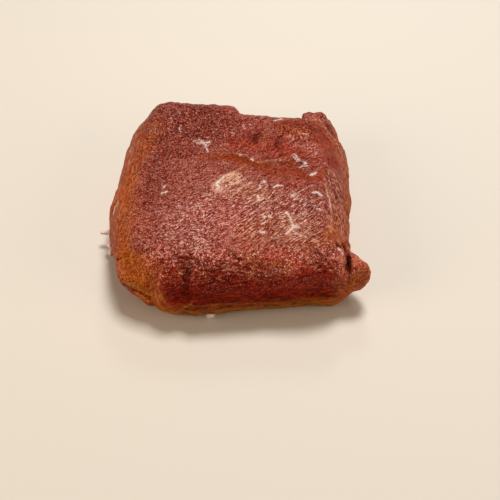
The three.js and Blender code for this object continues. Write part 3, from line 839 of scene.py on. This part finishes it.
meatLook = {
    "deepRed": (0.27, 0.030, 0.017, 1),
    "redMuscle": (0.42, 0.062, 0.034, 1),
    "mauve": (0.42, 0.085, 0.062, 1),
    "warmTan": (0.44, 0.105, 0.045, 1),
    "frost": (0.74, 0.31, 0.225, 1),
    # fleck: the pale pink of painted glints, and of the haze round the white marks
    "fleck": (0.88, 0.54, 0.46, 1),
    "pore": (0.13, 0.006, 0.003, 1),
    "footGold": (0.42, 0.14, 0.004, 1),
    # frontTint: the front face's own deep maroon, darkened further as painted shade
    "frontTint": (0.50, 0.070, 0.003, 1),
    # pale golden fibres, their gold partly a painted warm reflection
    "skinAndWarmReflection": (0.78, 0.40, 0.16, 1),
    "seamGold": (0.40, 0.125, 0.03, 1),
    "plate": (0.84, 0.47, 0.335, 1),
    "tan": (0.74, 0.40, 0.20, 1),
    "goldLine": (0.62, 0.30, 0.06, 1),
    # fat: the white of the fat marks, also used for the painted glint dashes
    "fat": (1.0, 0.84, 0.79, 1),
    # gap: the near black of painted shade in folds and gaps, and of dark fibre lines on the front
    "gap": (0.035, 0.001, 0.0005, 1),
    "tints": [
        # area, and the colour its meat is multiplied by; some of these are painted light or shade
        # the darker lobe, and a band of painted shade on the front face
        ("darkLobeAndShade", (0.63, 0.41, 0.33, 1)),
        ("backRed", (0.89, 0.54, 0.40, 1)),
        ("seamBand", (0.86, 0.42, 0.24, 1)),
        # the sides' golden brown: partly thin skin, partly a painted warm reflection
        ("onSide", (1.1, 1.06, 0.15, 1)),
        # painted light: spots along the front edge made brighter
        ("frontRow", (1.4, 1.5, 1.5, 1)),
        # painted light: the pebbly front row made brighter
        ("rowGrainAndLight", (1.38, 1.36, 1.34, 1)),
        # painted shade where the top turns into the front
        ("frontTurn", (0.78, 0.43, 0.33, 1)),
        ("backGold", (1.06, 0.86, 0.52, 1)),
        ("flapTop", (1.2, 1.42, 1.0, 1)),
        # painted warm light on the front left corner
        ("cornerGlow", (1.3, 1.6, 0.32, 1)),
        ("crimson", (0.95, 0.75, 0.6, 1)),
        ("mauve", (1.0, 0.86, 0.86, 1)),
        ("warmTan", (1.0, 1.03, 0.88, 1)),
    ],
    "calmed": {"seamBand": 0.3, "backRed": 0.1, "darkLobeAndShade": 0.2},  # pale grain held back
    "grainSize": 0.9,  # mm
    "fineGrainSize": 0.648,
    "noises": {
        # clouds of tone: scale per mm, detail, roughness and distortion
        "broad": (0.04, 3.0, 0.6, 0.6),
        "patches": (0.13, 4.0, 0.6, 0.8),
        "hollows": (0.5, 2.0, 0.5, 0.5),
    },
    "ranges": {
        # a value's two ends, and what they become where that isn't 0 and 1
        "redness": (0.38, 0.6), "tintPatches": (0.35, 0.6, 0.4, 0.9), "toRight": (-14, 10),
        "toBack": (18, 28), "toStrip": (44, 50), "grainShare": (0, 1, 1.0, 0.4),
        "threadCrests": (0.5, 0.59), "rowCrests": (0, 1, 1.0, 0.8), "frosted": (0, 1, 0.55, 1.0),
        "broadFrost": (0.35, 0.6, 0.5, 0.9), "threadPores": (0.49, 0.415),
        "fineShade": (0.49, 0.4), "pits": (0.49, 0.4, 0, 0.8), "glintFlecks": (0.54, 0.64),
        "glintDashes": (0.58, 0.63), "backContrast": (0, 1, 1.0, 0.5),
        "sideShade": (0.49, 0.38, 0, 0.65), "stripShade": (0.49, 0.41, 0, 0.75),
        "stripLight": (0.52, 0.59, 0, 0.7), "sideLight": (0.52, 0.66, 0, 0.5),
        "fan": (0.52, 0.6), "fanPlace": (0, 20, 0.1, 0.7), "frontShade": (0.49, 0.41, 0, 0.65),
        "shadeHeight": (30, 16, 0.2, 1.0), "frontLight": (0.53, 0.6, 0, 0.7),
        "footHeight": (18, 5), "footThreads": (0.42, 0.56, 0.3, 1.0), "glints": (0.57, 0.62),
        "glintsOnFront": (0, 1, 1, 0.3), "seamGrain": (0.46, 0.56, 0.0, 0.4),
        "plateGrain": (0.44, 0.53, 0.05, 0.95), "tanGrain": (0.42, 0.54, 0.35, 0.95),
        "shadeGrain": (0.54, 0.44, 0.15, 1.0), "deepShade": (0.4, 0.7),
        "haze": (0.65, 1.0, 0, 0.35), "speckle": (0.42, 0.52, 0.75, 1.0),
        "whiteShare": (0.3, 0.85, 0.35, 1.0), "roughness": (0.3, 0.7, 0.28, 0.4),
    },
    "shares": {
        # how much of an effect is used
        "broadRed": 0.5, "patchyRed": 0.5, "calmTop": 0.4, "calmAll": 0.6, "smoothCorner": 0.9,
        "smoothFlap": 0.6, "smoothness": 0.78, "pores": 0.85, "fineShade": 0.75, "glintFlecks": 0.9,
        "glintDashes": 0.6, "strip": 0.85, "lobeGlints": 0.5, "wetSeam": 0.05, "dryFrost": 0.08,
        "drySide": 0.15, "fineRelief": 0.9, "whiteRelief": 0.12, "topRelief": 1.0,
        "sideRelief": 0.6, "frontRelief": 0.6, "plateThreads": 0.5,
    },
    "edges": {
        # how ragged and soft the edge of a mark is, in mm
        "tan": {"Ragged": 0.9, "Soft": 0.5},
        "haze": {"Ragged": 1.2, "Soft": 1.5},
        "white": {"Ragged": 1.3, "Soft": 0.35},
    },
    "threads": [
        # name, turn in degrees, length and spacing in mm, how much they wander
        ("net", (0, 0, 32), 2.6, 0.75, 1.4),
        ("slant", (0, 0, 42), 4.5, 0.75, 0.5),
        ("strip", (0, 0, -52), 6.0, 0.75, 0.5),
        ("back", (0, 0, 62), 5.5, 0.75, 1.6),
        ("side", (6, 10, 80), 9.0, 0.75, 0.9),
        ("front", (0, -4, 0), 9.0, 0.7, 0.8),
        ("fan", (0, -42, 0), 7.0, 0.7, 0.5),
    ],
    "bumpHeight": 1.0 * mm,
    "shader": {
        "IOR": 1.4,
        "Specular IOR Level": 0.14,
        "Specular Tint": (1.0, 0.52, 0.32, 1),
        "Subsurface Weight": 0.04,
        "Subsurface Radius": (1.0, 0.25, 0.12),
        "Subsurface Scale": 1.2 * mm,
    },
}


def groupNode(tree, group, **inputs):
    node = addNode(tree, "ShaderNodeGroup", group.name)
    node.node_tree = group
    for name, value in inputs.items():
        joinTo(tree, value, node.inputs[name])
    return node.outputs


def attributeNode(tree, name):
    return addNode(tree, "ShaderNodeAttribute", attribute_name=name).outputs["Fac"]


def buildMeatMaterial(look):
    material = bpy.data.materials.new("rawMeat")
    material.use_nodes = True
    tree = material.node_tree
    shader = tree.nodes["Principled BSDF"]
    shares = look["shares"]

    def ranged(value, name):
        return rangeNode(tree, value, *look["ranges"][name])

    def part(value, name):
        return times(tree, value, shares[name])

    def paint(under, amount, name):
        return mixColour(tree, amount, under, look[name])

    def mark(distance, edge):
        values = look["edges"][edge]
        return groupNode(tree, edgeGroup, Vector=spot, Distance=distance, **values)["Mask"]

    objectCoords = addNode(tree, "ShaderNodeTexCoord").outputs["Object"]
    inMm = addNode(tree, "ShaderNodeMapping", "metres to mm")
    joinTo(tree, objectCoords, inMm.inputs["Vector"])
    inMm.inputs["Scale"].default_value = (1 / mm, 1 / mm, 1 / mm)
    spot = inMm.outputs[0]
    area = {name: attributeNode(tree, name) for name in areas}
    axes = addNode(tree, "ShaderNodeSeparateXYZ")
    joinTo(tree, spot, axes.inputs[0])
    across, backward, upward = axes.outputs

    # textures
    broad = noiseNode(tree, spot, *look["noises"]["broad"])
    patches = noiseNode(tree, spot, *look["noises"]["patches"])
    hollows = noiseNode(tree, spot, *look["noises"]["hollows"])
    grain = groupNode(tree, grainGroup, Vector=spot, Size=look["grainSize"])
    fineGrain = groupNode(tree, grainGroup, Vector=spot, Size=look["fineGrainSize"])
    threads = {}
    for name, turn, length, spacing, wander in look["threads"]:
        turn = tuple(math.radians(angle) for angle in turn)
        threads[name] = groupNode(
            tree, fibreGroup, Vector=spot, Turn=turn, Length=length, Spacing=spacing, Wander=wander
        )["Threads"]

    # muscle colour with its grain, painted glints, painted shade in pits, and the areas' tints,
    # some of them painted light or shade
    redness = plus(tree, part(broad, "broadRed"), part(patches, "patchyRed"))
    colour = mixColour(tree, ranged(redness, "redness"), look["deepRed"], look["redMuscle"])
    for tint in ("mauve", "warmTan"):
        tintAmount = times(tree, area[tint], ranged(patches, "tintPatches"))
        colour = paint(colour, tintAmount, tint)
    toRight = ranged(across, "toRight")
    topThreads = mixValue(tree, toRight, threads["net"], threads["slant"])
    toBack = times(tree, toRight, ranged(backward, "toBack"))
    topThreads = mixValue(tree, toBack, topThreads, threads["back"])
    topThreads = mixValue(tree, ranged(across, "toStrip"), topThreads, threads["strip"])
    grainShare = ranged(toRight, "grainShare")
    crests = times(tree, grain["Crests"], grainShare)
    crests = greater(tree, crests, ranged(topThreads, "threadCrests"))
    crests = times(tree, crests, ranged(area["rowGrainAndLight"], "rowCrests"))
    calm = plus(tree, part(area["onTop"], "calmTop"), shares["calmAll"])
    sideAmount = times(tree, area["onSide"], remainder(tree, area["onFront"]))
    smoothPlace = greater(tree, sideAmount, part(area["cornerGlow"], "smoothCorner"))
    smoothPlace = greater(tree, smoothPlace, part(area["flapTop"], "smoothFlap"))
    smoothSide = remainder(tree, part(smoothPlace, "smoothness"))
    calm = times(tree, calm, smoothSide)
    calm = times(tree, calm, ranged(area["frosted"], "frosted"))
    for name, share in look["calmed"].items():
        calm = times(tree, calm, remainder(tree, times(tree, area[name], share)))
    frost = times(tree, times(tree, crests, calm), ranged(broad, "broadFrost"))
    colour = paint(colour, frost, "frost")
    pores = times(tree, grain["Pores"], grainShare)
    pores = greater(tree, pores, ranged(topThreads, "threadPores"))
    pores = times(tree, pores, part(smoothSide, "pores"))
    colour = paint(colour, pores, "pore")
    fineShade = part(ranged(fineGrain["Height"], "fineShade"), "fineShade")
    colour = paint(colour, fineShade, "pore")
    # painted shade in the pits of the pebbly row
    pits = times(tree, ranged(hollows, "pits"), area["rowGrainAndLight"])
    colour = paint(colour, pits, "pore")
    # painted glints: sparse pale specks where the fine grain peaks
    glintFlecks = times(tree, ranged(fineGrain["Height"], "glintFlecks"), calm)
    colour = paint(colour, part(glintFlecks, "glintFlecks"), "fleck")
    # painted glints: short pale dashes along the threads where the top is frosted
    glintDashes = times(tree, ranged(topThreads, "glintDashes"), area["frosted"])
    colour = paint(colour, part(glintDashes, "glintDashes"), "fat")
    for name, tint in look["tints"]:
        colour = mixColour(tree, area[name], colour, tint, "MULTIPLY")

    # the sides: fine golden fibres of thin skin, their gold partly a painted warm reflection
    sideThreads = mixValue(tree, area["rightStrip"], threads["side"], threads["strip"])
    sideThreads = mixValue(tree, area["onBack"], sideThreads, threads["front"])
    sideContrast = ranged(area["onBack"], "backContrast")
    sidePlace = greater(tree, sideAmount, part(area["rightStrip"], "strip"))
    sideContrast = times(tree, sideContrast, sidePlace)
    sideShade = times(tree, ranged(sideThreads, "sideShade"), sideContrast)
    colour = paint(colour, sideShade, "pore")
    stripShade = times(tree, ranged(threads["strip"], "stripShade"), area["rightStrip"])
    colour = paint(colour, stripShade, "pore")
    stripLight = times(tree, ranged(threads["strip"], "stripLight"), area["rightStrip"])
    colour = paint(colour, stripLight, "frost")
    sideLight = times(tree, ranged(sideThreads, "sideLight"), sideContrast)
    colour = paint(colour, sideLight, "skinAndWarmReflection")

    # the front face: a fan of fibres on the right, painted shade over the face, glints along the
    # top, gold layers at the foot
    fan = times(tree, ranged(threads["fan"], "fan"), ranged(across, "fanPlace"))
    colour = paint(colour, times(tree, fan, area["onFront"]), "frost")
    frontShade = times(tree, ranged(threads["front"], "frontShade"), area["onFront"])
    frontShade = times(tree, frontShade, ranged(upward, "shadeHeight"))
    colour = paint(colour, frontShade, "gap")
    frontLight = times(tree, ranged(threads["front"], "frontLight"), area["onFront"])
    colour = paint(colour, frontLight, "skinAndWarmReflection")
    # the front face's deep maroon, darkened further as painted shade
    colour = mixColour(tree, area["onFront"], colour, look["frontTint"], "MULTIPLY")
    footShare = ranged(upward, "footHeight")
    footAmount = times(tree, footShare, ranged(threads["front"], "footThreads"))
    colour = paint(colour, times(tree, footAmount, area["onFoot"]), "footGold")
    # painted glints along the pebbly front row and in the dark lobe
    glintPlace = greater(tree, area["rowGrainAndLight"], part(area["darkLobeAndShade"], "lobeGlints"))
    glints = times(tree, ranged(fineGrain["Height"], "glints"), glintPlace)
    glints = times(tree, glints, ranged(area["onFront"], "glintsOnFront"))
    colour = paint(colour, glints, "fleck")

    # seam, plate, lines and marks, and painted shade in folds and gaps
    seamAmount = times(tree, area["seamBand"], ranged(grain["Height"], "seamGrain"))
    colour = paint(colour, seamAmount, "seamGold")
    plateGrain = mixValue(tree, shares["plateThreads"], fineGrain["Height"], threads["slant"])
    plateAmount = times(tree, area["palePlate"], ranged(plateGrain, "plateGrain"))
    colour = paint(colour, plateAmount, "plate")
    tanMask = mark(area["tanEdge"], "tan")
    tanMask = times(tree, tanMask, ranged(fineGrain["Height"], "tanGrain"))
    tanMask = times(tree, tanMask, area["tanLight"])
    goldPlace = greater(tree, area["cornerGlow"], area["onFoot"])
    lineColour = mixColour(tree, goldPlace, look["tan"], look["goldLine"])
    colour = mixColour(tree, tanMask, colour, lineColour)
    inGrain = ranged(grain["Height"], "shadeGrain")
    shadeShare = mixValue(tree, ranged(area["foldShade"], "deepShade"), inGrain, 1.0)
    shadeAmount = times(tree, area["foldShade"], shadeShare)
    colour = paint(colour, shadeAmount, "gap")
    haze = mark(area["whiteEdge"], "haze")
    colour = paint(colour, times(tree, haze, ranged(area["whiteLight"], "haze")), "fleck")
    whiteMask = mark(area["whiteEdge"], "white")
    speckle = ranged(fineGrain["Height"], "speckle")
    whiteShare = ranged(area["whiteLight"], "whiteShare")
    whiteMask = times(tree, times(tree, whiteMask, speckle), whiteShare)
    colour = paint(colour, whiteMask, "fat")
    joinTo(tree, colour, shader.inputs["Base Color"])

    # wetness
    rough = ranged(patches, "roughness")
    rough = mathNode(tree, "SUBTRACT", rough, part(area["seamBand"], "wetSeam"))
    rough = plus(tree, rough, part(frost, "dryFrost"))
    rough = plus(tree, rough, part(sideAmount, "drySide"))
    joinTo(tree, rough, shader.inputs["Roughness"])

    # fine relief
    height = plus(tree, grain["Height"], part(fineGrain["Height"], "fineRelief"))
    height = times(tree, height, smoothSide)
    for threadValue, place, share in (
        (topThreads, area["onTop"], shares["topRelief"]),
        (sideThreads, sideContrast, shares["sideRelief"]),
        (threads["front"], area["onFront"], shares["frontRelief"]),
    ):
        lift = times(tree, threadValue, times(tree, place, share))
        height = plus(tree, height, lift)
    height = plus(tree, height, part(whiteMask, "whiteRelief"))
    bump = addNode(tree, "ShaderNodeBump")
    bump.inputs["Distance"].default_value = look["bumpHeight"]
    joinTo(tree, height, bump.inputs["Height"])
    joinTo(tree, bump.outputs[0], shader.inputs["Normal"])
    for name, value in look["shader"].items():
        shader.inputs[name].default_value = value
    return material


meat.data.materials.append(buildMeatMaterial(meatLook))
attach(meat, "root")
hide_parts("meat_block")
print("meat finished")

# floor and studio lights
stageSettings = {
    "floorSide": 6.0,
    "floorColour": (0.68, 0.63, 0.56, 1),
    "floorRoughness": 0.8,
    "worldColour": (1.0, 0.95, 0.87, 1),
    "worldStrength": 0.16,
    "lights": [
        {
            "name": "keyFromAbove",
            "place": (0.12, 0.36, 1.12),
            "side": 0.3,
            "power": 12.0,
            "colour": (1, 0.97, 0.93),
        },
        {
            "name": "glintFromBehind",
            "place": (0.05, 0.8, 0.8),
            "side": 0.2,
            "power": 1.5,
            "colour": (1, 0.99, 0.97),
        },
        {
            "name": "fillFromLeft",
            "place": (-0.9, -0.45, 0.45),
            "side": 0.7,
            "power": 5.2,
            "colour": (1, 0.80, 0.58),
        },
        {
            "name": "fillFromRight",
            "place": (0.9, -0.35, 0.4),
            "side": 0.7,
            "power": 3.0,
            "colour": (1, 0.82, 0.62),
        },
    ],
}


def addStage(settings):
    bpy.ops.object.select_all(action="DESELECT")
    bpy.ops.mesh.primitive_plane_add(size=settings["floorSide"], location=(0, 0, 0))
    floor = bpy.context.object
    floor.name = "floor"
    paint = bpy.data.materials.new("paleFloor")
    paint.use_nodes = True
    shader = paint.node_tree.nodes["Principled BSDF"]
    shader.inputs["Base Color"].default_value = settings["floorColour"]
    shader.inputs["Roughness"].default_value = settings["floorRoughness"]
    floor.data.materials.append(paint)
    world = bpy.data.worlds.new("studio")
    world.use_nodes = True
    background = world.node_tree.nodes["Background"]
    background.inputs["Color"].default_value = settings["worldColour"]
    background.inputs["Strength"].default_value = settings["worldStrength"]
    bpy.context.scene.world = world
    # colours as a plain photograph shows them
    bpy.context.scene.view_settings.view_transform = "Standard"
    for values in settings["lights"]:
        lamp = bpy.data.lights.new(values["name"], "AREA")
        lamp.size = values["side"]
        lamp.energy = values["power"]
        lamp.color = values["colour"]
        holder = bpy.data.objects.new(values["name"], lamp)
        holder.location = values["place"]
        holder.rotation_euler = Vector(values["place"]).to_track_quat("Z", "Y").to_euler()
        bpy.context.collection.objects.link(holder)


addStage(stageSettings)
print("stage set")
